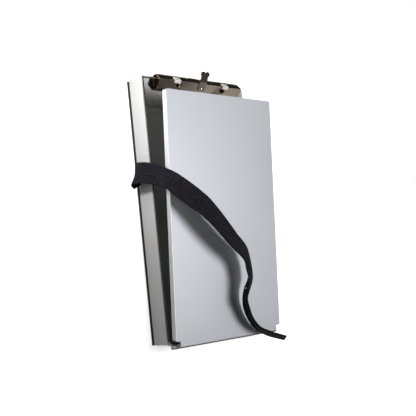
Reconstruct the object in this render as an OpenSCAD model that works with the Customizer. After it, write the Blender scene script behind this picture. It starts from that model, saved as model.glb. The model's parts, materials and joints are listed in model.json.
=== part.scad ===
// A storage clipboard box: a shallow aluminium tray with a hinged lid that carries a spring clip,
// a writing cover hinged along the bottom end, and a webbing leg strap from the left edge.
// The origin is the centre of the tray's back face. +X is to the right, +Y runs to the clip end
// and +Z leaves the front. The cover rests a few degrees open.

/* [Case] */
// Overall width of the case
case_w = 158; // [130:1:220]
// Overall length of the case
case_l = 300; // [270:1:360]
// Depth of the case, back face to lid face
case_d = 25.4; // [22:0.2:45]
// Thickness of the case sheet
sheet = 1.2; // [0.8:0.1:2]
// Outer radius of the tray's bends
bend_r = 2.4; // [2.2:0.1:4]
// Gap between the lid's flanges and the tray walls
lid_gap = 0.35; // [0.3:0.05:1]
// Depth of the lid's flanges below the lid face
lid_flange = 7; // [4:0.5:12]
// Width of the tray's corner tabs
corner_tab = 11; // [8:1:20]

/* [Lid detent] */
// Distance of the detent from the case's middle, towards the clip
detent_y = 62; // [20:1:100]
// Distance of the detent below the lid face
detent_drop = 3.9; // [3:0.1:5]
// Radius of the detent dimple at the face
detent_r = 1.4; // [0.8:0.1:1.8]
// Height that the dimple stands inside the wall
detent_bump = 0.2; // [0.1:0.05:0.25]

/* [Hinges] */
// Radius of the hinge pins
pin_r = 1; // [0.7:0.05:1.1]
// Thickness of the hinge leaves
leaf_t = 0.8; // [0.6:0.05:1]
// Radius of the lid hinge's knuckles
lid_knuckle_r = 2; // [1.95:0.05:3]
// Radius of the cover hinge's knuckles
cover_knuckle_r = 2.4; // [1.95:0.05:3.2]
// Radial clearance of a pin in its knuckles
pin_clear = 0.05; // [0.02:0.01:0.1]
// Gap between neighbouring knuckles
knuckle_gap = 0.3; // [0.2:0.05:0.8]
// Number of knuckles of the lid hinge
lid_knuckles = 21; // [7:2:31]
// Number of knuckles of the cover hinge
cover_knuckles = 11; // [5:2:19]
// Width of the lid hinge's leaves
lid_leaf_w = 13; // [10:0.5:16]
// Width of the cover hinge's lower leaf
lower_leaf_w = 7.4; // [6.5:0.1:8]
// Width of the cover hinge's upper leaf
upper_leaf_w = 6.4; // [6:0.1:6.6]
// Height of the cover hinge's axis above the lid face
cover_axis_h = 7.6; // [7.2:0.1:9]

/* [Cover] */
// Length of the cover, tongue to clip end
cover_l = 276; // [240:1:280]
// Thickness of the cover sheet
cover_t = 1; // [0.7:0.1:1.4]
// Depth of the cover's flanges, face to edge
cover_flange = 6.1; // [5.6:0.1:8]
// Height of the flange edges above the hinge axis, when closed
cover_lift = 1.6; // [1.2:0.1:3]
// Side of the square notches beside the tongue
notch = 6.1; // [5:0.1:9]
// Corner radius of the cover
cover_corner_r = 2.5; // [1.5:0.1:5]
// Angle at which the cover rests open
cover_rest = 5.5; // [0:0.5:12]

/* [Clip] */
// Width of the clip's jaw
clip_w = 124.8; // [100:0.4:128]
// Thickness of the clip's sheet
clip_t = 0.9; // [0.7:0.1:1.2]
// Height of the jaw's ridge above the lid face
ridge_h = 12.5; // [11.5:0.1:14]
// Radius of the clip's pivot rod
rod_r = 1.25; // [1:0.05:1.3]
// Distance of the rod from the case's clip end
rod_in = 4.9; // [4.5:0.1:5.4]
// Height of the rod above the lid face
rod_h = 6.3; // [5.8:0.1:6.8]
// Distance of the jaw's side windows from the middle
window_x = 33; // [28:0.5:35]
// Radius of the jaw's side windows
window_r = 3.8; // [2.5:0.1:4]
// Width of the two hinge straps of the jaw
strap_tab_w = 8; // [5:0.5:8.4]
// Distance of the hinge straps from the middle
strap_tab_x = 36.5; // [35:0.5:38]
// Width of the thumb lever
lever_w = 10; // [7:0.5:14]
// Thickness of the thumb lever
lever_t = 1; // [0.7:0.1:1.4]
// Radius of each of the lever's two end lobes
lobe_r = 3.1; // [2.5:0.1:4]
// Wire diameter of the clip's springs
spring_wire = 0.8; // [0.5:0.05:0.9]
// Number of coils in each spring
spring_coils = 7; // [4:1:8]

/* [Rivets] */
// Shank radius of the case rivets
rivet_r = 1.4; // [1:0.1:1.6]
// Radius of the case rivets' heads
rivet_head_r = 2.4; // [2:0.1:2.8]
// Height of the case rivets' heads
rivet_head_h = 0.7; // [0.4:0.1:1]
// Number of rivets along the lid hinge
lid_rivets = 7; // [3:1:9]
// Number of rivets along the cover hinge
cover_rivet_count = 5; // [3:1:7]

/* [Strap] */
// Width of the webbing
strap_w = 25.4; // [20:0.2:30]
// Thickness of the webbing
strap_t = 1.4; // [1:0.1:1.8]
// Distance of the strap slot from the case's middle, towards the clip
slot_y = 40.5; // [20:0.5:60]
// Clearance of the webbing in its slot
slot_clear = 0.6; // [0.4:0.1:1.2]
// Length of webbing that lies inside the tray
anchor_run = 20; // [16:1:30]
// Thickness of the anchor plate
anchor_t = 1.2; // [0.8:0.1:2]

/* [Hidden] */
$fn = 48;

aluminium = "gainsboro";
lid_grey = "silver";
nickel = "darkgray";
bright_steel = "lightgray";
webbing = "dimgray";

eps = 0.01;              // overlap of shapes that join in one piece
part_gap = 0.3;          // gap between pieces that move past each other
hole_clear = 0.05;       // radial clearance of a rivet in its hole
half_w = case_w / 2;
half_l = case_l / 2;
lid_under = case_d - sheet;
inner_x = half_w - sheet;
inner_y = half_l - sheet;

// Lid hinge: its axis lies inside the right wall, below the lid
lid_axis_x = inner_x - lid_knuckle_r;
lid_axis_z = lid_under - lid_knuckle_r;
lid_edge_short = 0.6;    // how far the lid's edge stops short of the hinge axis
lid_edge_x = lid_axis_x - lid_edge_short;
right_wall_top = lid_axis_z - 1.8;
bottom_wall_top = lid_under - part_gap;
top_wall_top = case_d - part_gap;
hinge_margin = 3;        // case end to the end of the lid hinge
lid_hinge_l = case_l - 2 * (sheet + hinge_margin);
lid_flange_x = inner_x - lid_gap;
lid_flange_y = inner_y - lid_gap;
lid_flange_z = case_d - lid_flange;

corner_tab_top = lid_flange_z - 2 * part_gap;
lid_bend_r = 1.8;

// Cover hinge: its axis lies in front of the lid's riser
cover_axis_y = -half_l - cover_knuckle_r;
cover_axis_z = case_d + cover_axis_h;
riser_top = cover_axis_z - 0.2;
riser_right = lid_axis_x - 0.5;   // the riser's foot stops here, so that it clears the tray as the lid swings
riser_foot_h = 2;
cover_hinge_l = case_w - 0.4;
cover_face = cover_lift + cover_flange;
tongue_y = cover_knuckle_r - leaf_t - cover_t;
flange_foot = cover_knuckle_r + 0.4;

// Clip: places measured from the case's clip end and the lid face, as [y, z] in the clip's frame
rod_y = half_l - rod_in;
rod_z = case_d + rod_h;
lip_in = 15.1;           // case's clip end in to the jaw's lip
brow_in = 14.7;          // case's clip end in to the brow, where the front slope begins
ridge_in = 6;            // case's clip end in to the ridge
rear_in = 0.45;          // case's clip end in to the jaw's rear edge
jaw_lip = [half_l - lip_in, 0.8];
jaw_brow = [half_l - brow_in, 4.6];
jaw_ridge = [half_l - ridge_in, ridge_h - clip_t / 2];
jaw_rear = [half_l - rear_in, 6.9];
base_in = 12.2;          // case's clip end in to the base plate's front edge
base_out = 0.3;          // case's clip end out to the base's rear flange
base_front = half_l - base_in;
base_rear = half_l + base_out;
base_flange_h = 7;
base_t = 1;
ear_t = 1;
ear_r = 2.5;
ear_gap = 0.4;
front_run = jaw_ridge - jaw_brow;
front_dir = front_run / norm(front_run);
front_out = [-front_dir[1], front_dir[0]];
back_run = jaw_rear - jaw_ridge;
back_dir = back_run / norm(back_run);
back_out = [-back_dir[1], back_dir[0]];
window_along = 6.3;      // brow to the middle of a window, along the front slope
tab_t = 0.8;
tab_roll_r = rod_r + pin_clear + tab_t;
tab_down = 5.2;          // ridge to the place where a tab turns in, along the back slope
tab_lap = 2.4;           // ridge to a tab's free end, down the front slope
tab_lift = (clip_t + tab_t) / 2;
tab_bend = jaw_ridge + tab_down * back_dir + tab_lift * back_out;
tab_fold = jaw_ridge + tab_lift / (1 + front_out * back_out) * (front_out + back_out);
tab_end = jaw_ridge - tab_lap * front_dir + tab_lift * front_out;
tab_notch_in = 4.5;      // case's clip end in to the jaw's notch for a tab
tab_notch_front = half_l - tab_notch_in;
tab_notch_top = tab_bend[1] + 0.7;
rivet_along = 5.4;       // brow to the lever's rivet
lever_foot_along = 4.4;  // brow to the lever's lower end
lever_rise = 0.6;        // how far the lever runs on past the ridge before it bends
lever_rivet_r = 1.2;
lever_head_r = 2;
lever_head_h = 1;
lever_knee = [half_l - 4.6, 14.6];
lever_tip = [half_l + 3.6, 19];
spring_r = rod_r + 0.2 + spring_wire / 2;
spring_pitch = 0.9 * spring_wire;
spring_leg_r = 0.4 * spring_wire;
spring_leg_slope = 27;   // slope of the leg that bears on the base
spring_foot_along = 3.3; // brow to the foot of the leg that bears on the jaw
spring_foot_x = window_x + 1;
spring_x = strap_tab_x - strap_tab_w / 2 - ear_gap - ear_t - part_gap - spring_wire / 2;
base_rivet_x = [-50, 0, 50];
base_rivet_y = base_front + 2.8;

ear_places = [for (side = [-1, 1], end = [-1, 1])
    side * strap_tab_x + end * (strap_tab_w / 2 + ear_gap + ear_t / 2)];
rod_l = strap_tab_w + 2 * (ear_gap + ear_t) + 14;
tray_rivet_places = spread(lid_rivets, lid_hinge_l, 14);
lid_rivet_places = spread(lid_rivets - 1, lid_hinge_l, 35);

// Strap anchor
slot_low = sheet + 0.2;
slot_h = strap_t + 2 * slot_clear;
strap_z = slot_low + slot_h / 2;
anchor_top = strap_z + strap_t / 2;
anchor_w = 14;
anchor_x = -inner_x + anchor_run - anchor_w / 2;
anchor_rivet_gap = 14;

// A rivet along -Z from its seat at z = 0: a domed head above and a flat upset head below the grip.
// With tail set to false its lower end is left flush.
module rivet(grip, r = rivet_r, head_r = rivet_head_r, head_h = rivet_head_h, tail = true) {
    ball_r = (head_r * head_r + head_h * head_h) / (2 * head_h);
    tail_h = 0.5 * head_h;
    intersection() {
        translate([0, 0, head_h - ball_r]) sphere(r = ball_r);
        cylinder(r = head_r, h = head_h);
    }
    translate([0, 0, -grip - (tail ? eps : 0)]) cylinder(r = r, h = grip + 2 * eps);
    if (tail) translate([0, 0, -grip - tail_h]) cylinder(r = 0.8 * head_r, h = tail_h);
}

// A hole for a rivet, along Z through a sheet that spans z = -grip to 0
module rivet_hole(grip, r = rivet_r) {
    translate([0, 0, -grip - 1]) cylinder(r = r + hole_clear, h = grip + 2);
}

// Middle places of n features spread over a length
function spread(n, length, inset) = [for (i = [0:n - 1]) -length / 2 + inset + i * (length - 2 * inset) / (n - 1)];

// A folded strip in the plane: a line of thickness t along points, with round folds and ends
module strip(points, t) {
    for (p = points) translate(p) circle(d = t);
    for (i = [0:len(points) - 2]) {
        run = points[i + 1] - points[i];
        translate(points[i]) rotate(atan2(run[1], run[0]))
            translate([0, -t / 2]) square([norm(run), t]);
    }
}

// Extrudes a [y, z] outline along X, centred
module across(width) {
    rotate([90, 0, 90]) translate([0, 0, -width / 2]) linear_extrude(width) children();
}

// A U outline with round lower corners, centred, its foot at 0
module u_outline(width, height, r) {
    translate([-width / 2, r]) square([width, height - r]);
    translate([-width / 2 + r, 0]) square([width - 2 * r, r + eps]);
    for (side = [-1, 1]) translate([side * (width / 2 - r), r]) circle(r = r);
}

// A block with all four lower edges rounded, its foot at z = 0
module rounded_block(width, length, height, r) {
    intersection() {
        rotate([90, 0, 0]) translate([0, 0, -length / 2]) linear_extrude(length) u_outline(width, height, r);
        across(width) u_outline(length, height, r);
    }
}

// One hinge leaf: the axis lies along X, the leaf touches its knuckles' +Y side and hangs down -Z.
// first is 0 or 1 and picks which of the alternating knuckles belong to this leaf.
module hinge_leaf(length, width, knuckle_r, count, first, hole_places, hole_drop) {
    pitch = length / count;
    difference() {
        union() {
            translate([-length / 2, knuckle_r - leaf_t, -width]) cube([length, leaf_t, width]);
            for (i = [first:2:count - 1])
                translate([-length / 2 + i * pitch + knuckle_gap / 2, 0, 0])
                    rotate([0, 90, 0]) cylinder(r = knuckle_r, h = pitch - knuckle_gap);
        }
        translate([-length / 2 - 1, 0, 0]) rotate([0, 90, 0]) cylinder(r = pin_r + pin_clear, h = length + 2);
        for (i = [1 - first:2:count - 1])
            translate([-length / 2 + i * pitch - knuckle_gap / 2, 0, 0]) rotate([0, 90, 0])
                cylinder(r = knuckle_r + part_gap, h = pitch + knuckle_gap);
        for (x = hole_places)
            translate([x, knuckle_r, -hole_drop]) rotate([-90, 0, 0]) rivet_hole(leaf_t);
    }
}

// A hinge pin along X, with slightly rounded ends
module hinge_pin(length) {
    rotate([0, 90, 0]) rotate_extrude() {
        square([pin_r, length / 2 - 0.3]);
        translate([0, length / 2 - 0.3]) square([pin_r - 0.3, 0.3]);
        translate([0, -length / 2 + 0.3]) square([pin_r, length / 2]);
        translate([0, -length / 2]) square([pin_r - 0.3, 0.3 + eps]);
    }
}

// ---- Tray ----

corner_rivet_z = 0.45 * case_d;
tray_rivet_z = lid_axis_z - 0.62 * lid_leaf_w;
corner_rivet_x = inner_x - 0.55 * corner_tab;

module tray_shell() {
    color(aluminium) difference() {
        union() {
            difference() {
                rounded_block(case_w, case_l, case_d, bend_r);
                translate([0, 0, sheet])
                    rounded_block(2 * inner_x, 2 * inner_y, case_d, bend_r - sheet);
            }
            for (end = [-1, 1], side = [-1, 1])
                translate([side * (inner_x - corner_tab / 2), end * (inner_y - sheet / 2 + eps / 2),
                           (sheet + corner_tab_top) / 2])
                    cube([corner_tab + 2 * eps, sheet + eps, corner_tab_top - sheet], center = true);
            translate([-inner_x, detent_y, case_d - detent_drop]) rotate([0, 90, 0])
                cylinder(r1 = detent_r, r2 = 0.6 * detent_r, h = detent_bump);
        }
        translate([-half_w - eps, detent_y, case_d - detent_drop]) rotate([0, 90, 0])
            cylinder(r1 = detent_r, r2 = 0.4 * detent_r, h = 0.6 * sheet);
        translate([lid_axis_x - lid_knuckle_r - part_gap, -inner_y, right_wall_top])
            cube([half_w, 2 * inner_y + 2 * eps, case_d]);
        translate([lid_edge_x - sheet, -half_l - 1, right_wall_top]) cube([half_w, case_l + 2, case_d]);
        translate([-inner_x, -half_l - 1, bottom_wall_top]) cube([case_w, sheet + 1 + eps, case_d]);
        translate([-inner_x, inner_y - eps, top_wall_top]) cube([case_w, sheet + 1, case_d]);
        translate([-half_w - 1, slot_y - strap_w / 2 - slot_clear, slot_low])
            cube([sheet + 1 + bend_r, strap_w + 2 * slot_clear, slot_h]);
        for (end = [-1, 1], side = [-1, 1])
            translate([side * corner_rivet_x, end * half_l, corner_rivet_z])
                rotate([-90 * end, 0, 0]) rivet_hole(2 * sheet);
        for (y = tray_rivet_places)
            translate([half_w, y, tray_rivet_z]) rotate([0, 90, 0]) rivet_hole(sheet);
        for (side = [-1, 1])
            translate([anchor_x, slot_y + side * anchor_rivet_gap / 2, 0])
                rotate([180, 0, 0]) rivet_hole(sheet);
    }
}

module tray_corner_rivets() {
    color(aluminium) for (end = [-1, 1], side = [-1, 1])
        translate([side * corner_rivet_x, end * half_l, corner_rivet_z])
            rotate([-90 * end, 0, 0]) rivet(2 * sheet);
}

module tray_hinge_leaf() {
    color(bright_steel) translate([lid_axis_x, 0, lid_axis_z]) rotate([0, 0, -90])
        hinge_leaf(lid_hinge_l, lid_leaf_w, lid_knuckle_r, lid_knuckles, 0,
                   spread(lid_rivets, lid_hinge_l, 14), lid_axis_z - tray_rivet_z);
}

module tray_hinge_rivets() {
    color(aluminium) for (y = tray_rivet_places)
        translate([half_w, y, tray_rivet_z]) rotate([0, 90, 0]) rivet(sheet + leaf_t);
}

// ---- Strap anchor and strap ----

module strap_anchor_plate() {
    color(bright_steel) difference() {
        translate([anchor_x - anchor_w / 2, slot_y - strap_w / 2, anchor_top]) cube([anchor_w, strap_w, anchor_t]);
        for (side = [-1, 1])
            translate([anchor_x, slot_y + side * anchor_rivet_gap / 2, anchor_top + anchor_t]) rivet_hole(anchor_t);
    }
}

module strap_anchor_rivets() {
    color(aluminium) for (side = [-1, 1])
        translate([anchor_x, slot_y + side * anchor_rivet_gap / 2, anchor_top + anchor_t])
            rivet(anchor_top + anchor_t - 0.2, tail = false);
}

// The webbing's two edges, as chosen points [x, y, z]: the edge towards the clip and the other edge
clip_side = [
    [-58, 53, 2.7], [-76, 53, 2.7], [-81, 53, 2.8], [-84, 53, 7], [-85, 51, 20], [-83, 48, 32], [-82, 43, 45],
    [-81, 37, 58], [-77, 31, 67], [-69, 23, 73], [-59, 14, 77], [-46, 3, 79], [-34, -9, 79], [-20, -23, 77],
    [-5, -37, 73], [13, -53, 68], [20, -72, 62], [20, -88, 57], [16, -99, 53], [15, -110, 50], [18, -122, 47],
    [25, -135, 45], [36, -146, 43], [51, -155, 43], [68, -161, 43], [82, -165, 43]
];
far_side = [
    [-58, 28, 2.7], [-76, 28, 2.7], [-81, 27, 2.8], [-87, 24, 2.7], [-96, 27, 12], [-94, 25, 32], [-91, 20, 49],
    [-90, 14, 64], [-87, 7, 71], [-78, -1, 74], [-69, -10, 79], [-60, -18, 83], [-50, -28, 85], [-35, -42, 84],
    [-21, -54, 82], [-3, -67, 78], [1, -77, 76], [3, -88, 76], [2, -98, 75], [1, -109, 72], [6, -120, 69],
    [13, -132, 66], [24, -143, 64], [39, -150, 64], [54, -155, 63], [67, -159, 62]
];
strap_steps = 3;         // sections from one chosen point to the next
patch_from = 17;         // the chosen point where the hook patch starts
patch_t = 0.8;
patch_inset = 1.5;

// A smooth curve through the points: the place at step s of n between points i and i + 1
function at(p, i) = p[min(max(i, 0), len(p) - 1)];
function smooth(p, i, s) = let(a = at(p, i - 1), b = at(p, i), c = at(p, i + 1), d = at(p, i + 2))
    0.5 * (2 * b + s * (c - a) + s * s * (2 * a - 5 * b + 4 * c - d) + s * s * s * (3 * b - a - 3 * c + d));
function curve(p, from, n) = [
    for (i = [from:len(p) - 2], s = [0:n - 1]) smooth(p, i, s / n),
    p[len(p) - 1]
];
function unit(v) = v / norm(v);

// A ribbon between two edge curves, raised by low to high along its own normal and drawn in by inset
module ribbon(edge_a, edge_b, low, high, inset) {
    n = len(edge_a);
    mid = [for (i = [0:n - 1]) (edge_a[i] + edge_b[i]) / 2];
    side = [for (i = [0:n - 1]) unit(edge_b[i] - edge_a[i])];
    along = [for (i = [0:n - 1]) unit(at(mid, i + 1) - at(mid, i - 1))];
    up = [for (i = [0:n - 1]) unit(cross(side[i], along[i]))];
    rings = [for (i = [0:n - 1]) [
        edge_a[i] + side[i] * inset + up[i] * low, edge_b[i] - side[i] * inset + up[i] * low,
        edge_b[i] - side[i] * inset + up[i] * high, edge_a[i] + side[i] * inset + up[i] * high
    ]];
    points = [for (ring = rings) for (p = ring) p];
    last = 4 * (n - 1);
    faces = concat(
        [[0, 1, 2], [0, 2, 3]],
        [[last + 2, last + 1, last], [last + 3, last + 2, last]],
        [for (i = [0:n - 2], k = [0:3]) let(a = 4 * i + k, b = 4 * i + (k + 1) % 4) each [[a, a + 4, b], [b, a + 4, b + 4]]]
    );
    polyhedron(points = points, faces = faces);
}

module strap_webbing() {
    color(webbing) ribbon(curve(clip_side, 0, strap_steps), curve(far_side, 0, strap_steps),
                          -strap_t / 2, strap_t / 2, 0);
}

module strap_hook_patch() {
    color("black") ribbon(curve(clip_side, patch_from, strap_steps), curve(far_side, patch_from, strap_steps),
                          -strap_t / 2 - patch_t, -strap_t / 2, patch_inset);
}

// ---- Lid ----

lid_hinge_rivet_x = lid_axis_x - 0.62 * lid_leaf_w;
riser_rivet_z = case_d + 0.45 * (cover_axis_h - cover_knuckle_r);
riser_rivet_places = spread(cover_rivet_count, cover_hinge_l, 16);

// A quarter of a bend, in the quadrant x > 0, y > 0, with its centre at the origin
module bend_quarter() {
    intersection() {
        difference() {
            circle(r = lid_bend_r);
            circle(r = lid_bend_r - sheet);
        }
        square(lid_bend_r + 1);
    }
}

// An edge of the lid that turns down into a flange, as an outline whose outer corner is at the origin
module flange_outline() {
    translate([-lid_bend_r, -lid_bend_r]) bend_quarter();
    translate([-sheet, -lid_flange]) square([sheet, lid_flange - lid_bend_r + eps]);
}

module lid_plate() {
    plate_front = -half_l + lid_bend_r;
    plate_back = lid_flange_y - lid_bend_r;
    plate_left = -lid_flange_x + lid_bend_r;
    color(lid_grey) difference() {
        union() {
            translate([plate_left - eps, plate_front - eps, lid_under])
                cube([lid_edge_x - plate_left, plate_back - plate_front + 2 * eps, sheet]);
            translate([-lid_flange_x, -inner_y + part_gap, case_d]) rotate([-90, 0, 0])
                linear_extrude(inner_y - part_gap + plate_back) mirror([1, 0]) mirror([0, 1]) flange_outline();
            translate([plate_left, lid_flange_y, case_d]) rotate([90, 0, 90])
                linear_extrude(lid_axis_x - lid_knuckle_r - 1 - plate_left) flange_outline();
            translate([plate_left, 0, 0]) rotate([90, 0, 90]) linear_extrude(riser_right - plate_left)
                translate([plate_front, lid_under + lid_bend_r]) mirror([1, 0]) mirror([0, 1]) bend_quarter();
            translate([plate_left, -half_l, lid_under + lid_bend_r - eps])
                cube([riser_right - plate_left, sheet, riser_foot_h]);
            translate([-half_w, -half_l, case_d + riser_foot_h])
                cube([case_w, sheet, riser_top - case_d - riser_foot_h]);
        }
        translate([-lid_flange_x - 1, detent_y, case_d - detent_drop]) rotate([0, 90, 0])
            cylinder(r = detent_r + 0.1, h = sheet + 2);
        for (y = lid_rivet_places)
            translate([lid_hinge_rivet_x, y, case_d]) rivet_hole(sheet);
        for (x = riser_rivet_places)
            translate([x, -half_l, riser_rivet_z]) rotate([90, 0, 0]) rivet_hole(sheet);
        for (x = base_rivet_x)
            translate([x, base_rivet_y, case_d]) rivet_hole(sheet);
    }
}

module lid_hinge_leaf() {
    color(bright_steel) translate([lid_axis_x, 0, lid_axis_z]) rotate([0, 0, 90]) rotate([90, 0, 0])
        hinge_leaf(lid_hinge_l, lid_leaf_w, lid_knuckle_r, lid_knuckles, 1,
                   spread(lid_rivets - 1, lid_hinge_l, 35), lid_axis_x - lid_hinge_rivet_x);
}

module lid_hinge_rivets() {
    color(aluminium) for (y = lid_rivet_places)
        translate([lid_hinge_rivet_x, y, case_d]) rivet(sheet + leaf_t);
}

module lid_hinge_pin() {
    color(bright_steel) translate([lid_axis_x, 0, lid_axis_z]) rotate([0, 0, 90]) hinge_pin(lid_hinge_l);
}

module cover_hinge_lower_leaf() {
    color(bright_steel) difference() {
        translate([0, cover_axis_y, cover_axis_z])
            hinge_leaf(cover_hinge_l, lower_leaf_w, cover_knuckle_r, cover_knuckles, 0,
                       riser_rivet_places, cover_axis_z - riser_rivet_z);
        translate([riser_right, -half_l - 2 * leaf_t, case_d - 1])
            cube([half_w, 3 * leaf_t, riser_foot_h + 1]);
    }
}

module riser_rivets() {
    color(aluminium) for (x = riser_rivet_places)
        translate([x, -half_l - leaf_t, riser_rivet_z]) rotate([90, 0, 0]) rivet(sheet + leaf_t, 1.2, 1.9, 0.6);
}

module cover_hinge_pin() {
    color(bright_steel) translate([0, cover_axis_y, cover_axis_z]) hinge_pin(cover_hinge_l);
}

// ---- Cover: drawn closed, with the hinge axis at the origin, then turned to its rest angle ----

cover_back = tongue_y + cover_l;
cover_rivet_z = 0.5 * (flange_foot + cover_face);
cover_rivet_places = spread(cover_rivet_count - 1, cover_hinge_l, 28);

module at_cover() {
    translate([0, cover_axis_y, cover_axis_z]) rotate([cover_rest, 0, 0]) children();
}

// The cover's plan, from the tongue to the clip end, drawn in by inset
module cover_plan(inset) {
    r = cover_corner_r - inset;
    x = half_w - inset;
    for (side = [-1, 1]) {
        translate([side * (x - r), cover_back - inset - r]) circle(r = r);
        translate([side * (x - r), tongue_y + notch + inset + r]) circle(r = r);
    }
    translate([-x, tongue_y + notch + inset + r]) square([2 * x, cover_l - notch - 2 * inset - 2 * r]);
    translate([-x + r, tongue_y + notch + inset]) square([2 * (x - r), cover_l - notch - 2 * inset]);
}

module cover_panel() {
    color(aluminium) at_cover() difference() {
        union() {
            difference() {
                translate([0, 0, cover_lift]) linear_extrude(cover_flange) cover_plan(0);
                translate([0, 0, cover_lift - 1]) linear_extrude(cover_flange - cover_t + 1) cover_plan(cover_t);
                translate([-half_w + notch, tongue_y, cover_lift - 1])
                    cube([case_w - 2 * notch, notch + cover_t + cover_corner_r, cover_flange - cover_t + 1]);
            }
            translate([-half_w + notch, tongue_y, cover_face - cover_t])
                cube([case_w - 2 * notch, notch + 1, cover_t]);
            translate([-half_w + notch, tongue_y, flange_foot])
                cube([case_w - 2 * notch, cover_t, cover_face - flange_foot]);
        }
        for (x = cover_rivet_places)
            translate([x, tongue_y, cover_rivet_z]) rotate([90, 0, 0]) rivet_hole(cover_t);
    }
}

module cover_hinge_upper_leaf() {
    color(bright_steel) at_cover() mirror([0, 0, 1]) difference() {
        hinge_leaf(cover_hinge_l, upper_leaf_w, cover_knuckle_r, cover_knuckles, 1,
                   cover_rivet_places, cover_rivet_z);
        for (side = [-1, 1])
            translate([side * (half_w - notch / 2 + 1), 0, -upper_leaf_w / 2])
                cube([notch + 2, 2 * cover_knuckle_r + 1, upper_leaf_w + 2 * cover_knuckle_r + 2], center = true);
    }
}

module cover_rivets() {
    color(aluminium) at_cover() for (x = cover_rivet_places)
        translate([x, tongue_y, cover_rivet_z]) rotate([90, 0, 0]) rivet(cover_t + leaf_t, 1.2, 1.9, 0.6);
}

// ---- Clip: outlines are [y, z] with z counted from the lid face ----

module on_lid() {
    translate([0, 0, case_d]) children();
}

// Carries a shape from the Z axis to a place on the jaw's front slope, pointing out of it
module on_front_slope(x, along, lift) {
    place = jaw_brow + along * front_dir + lift * front_out;
    translate([x, place[0], place[1]]) rotate([atan2(front_out[1], front_out[0]) - 90, 0, 0]) children();
}

module clip_base() {
    color(nickel) on_lid() difference() {
        union() {
            translate([-clip_w / 2, base_front, 0]) cube([clip_w, base_rear - base_front + base_t, base_t]);
            translate([-clip_w / 2, base_rear, 0]) cube([clip_w, base_t, base_flange_h]);
            for (x = ear_places) translate([x, 0, 0]) across(ear_t) {
                translate([rod_y, rod_h]) circle(r = ear_r);
                translate([rod_y - ear_r, base_t / 2]) square([2 * ear_r, rod_h - base_t / 2]);
            }
        }
        translate([-clip_w / 2, rod_y, rod_h]) rotate([0, 90, 0]) cylinder(r = rod_r, h = clip_w);
        for (x = base_rivet_x)
            translate([x, base_rivet_y, base_t]) rivet_hole(base_t);
    }
}

module clip_base_rivets() {
    color(aluminium) for (x = base_rivet_x)
        translate([x, base_rivet_y, case_d + base_t]) rivet(base_t + sheet);
}

module clip_rod() {
    color(bright_steel) for (side = [-1, 1])
        translate([side * strap_tab_x, rod_y, rod_z]) rotate([0, 90, 0])
            cylinder(r = rod_r, h = rod_l, center = true);
}

// One torsion spring on the rod: touching coils, a leg that bears on the clip's base, and a leg whose
// bent foot presses on the jaw at the lower edge of its window
module clip_spring(side) {
    coil_l = (spring_coils - 1) * spring_pitch;
    leg_drop = rod_h - spring_r * cos(spring_leg_slope) - base_t - spring_leg_r;
    foot = jaw_brow + spring_foot_along * front_dir - (clip_t / 2 + spring_leg_r) * front_out;
    reach = [rod_y, rod_h] - foot;
    foot_slope = atan2(reach[1], reach[0]) + asin(spring_r / norm(reach));
    color(bright_steel) on_lid() {
        translate([side * (spring_x - coil_l / 2), rod_y, rod_h]) rotate([0, 90, 0])
            rotate_extrude() for (i = [0:spring_coils - 1])
                translate([spring_r, (i - (spring_coils - 1) / 2) * spring_pitch]) circle(d = spring_wire, $fn = 16);
        translate([side * (spring_x - coil_l), rod_y, rod_h]) rotate([90 + spring_leg_slope, 0, 0])
            translate([0, -spring_r, 0]) cylinder(r = spring_leg_r, h = leg_drop / sin(spring_leg_slope));
        translate([side * spring_x, foot[0], foot[1]]) rotate([foot_slope - 90, 0, 0])
            cylinder(r = spring_leg_r, h = sqrt(reach * reach - spring_r * spring_r));
        translate([side * spring_x, foot[0], foot[1]]) {
            sphere(r = spring_leg_r);
            rotate([0, side * 90, 0]) cylinder(r = spring_leg_r, h = spring_foot_x - spring_x);
        }
    }
}

module clip_spring_left() { clip_spring(-1); }

module clip_spring_right() { clip_spring(1); }

module clip_jaw() {
    color(nickel) on_lid() difference() {
        across(clip_w) strip([jaw_lip, jaw_brow, jaw_ridge, jaw_rear], clip_t);
        for (side = [-1, 1]) {
            on_front_slope(side * window_x, window_along, -2) cylinder(r = window_r, h = 4);
            translate([side * strap_tab_x - strap_tab_w / 2 - part_gap, tab_notch_front, 0])
                cube([strap_tab_w + 2 * part_gap, half_l, tab_notch_top]);
        }
        on_front_slope(0, rivet_along, 2) rivet_hole(4, lever_rivet_r);
    }
}

// One hinge strap: it laps over the ridge, turns in past the jaw's notch and rolls round the rod
module clip_strap(side) {
    inner = [rod_y + tab_roll_r - tab_t / 2, rod_h];
    color(bright_steel) on_lid() translate([side * strap_tab_x, 0, 0]) across(strap_tab_w) {
        strip([tab_end, tab_fold, tab_bend, inner], tab_t);
        translate([rod_y, rod_h]) difference() {
            circle(r = tab_roll_r);
            circle(r = rod_r + pin_clear);
        }
    }
}

module clip_strap_left() { clip_strap(-1); }

module clip_strap_right() { clip_strap(1); }

// The lever's foot lies on the front slope, its shank passes the ridge and its tip carries two round lobes
module thumb_lever() {
    lift = clip_t / 2 + lever_t / 2;
    foot = jaw_brow + lever_foot_along * front_dir + lift * front_out;
    ridge = jaw_ridge + lift * front_out + lever_rise * front_dir;
    tip_run = lever_tip - lever_knee;
    color(nickel) on_lid() difference() {
        union() {
            across(lever_w) strip([foot, ridge, lever_knee, lever_tip], lever_t);
            for (side = [-1, 1])
                translate([side * (lobe_r + 0.1), lever_tip[0], lever_tip[1]])
                    rotate([atan2(tip_run[1], tip_run[0]), 0, 0])
                        cylinder(r = lobe_r, h = lever_t + 0.3, center = true);
        }
        on_front_slope(0, rivet_along, 2) rivet_hole(4, lever_rivet_r);
    }
}

module lever_rivet() {
    color(bright_steel) on_lid() on_front_slope(0, rivet_along, clip_t / 2 + lever_t)
        rivet(clip_t + lever_t, lever_rivet_r, lever_head_r, lever_head_h);
}

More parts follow.
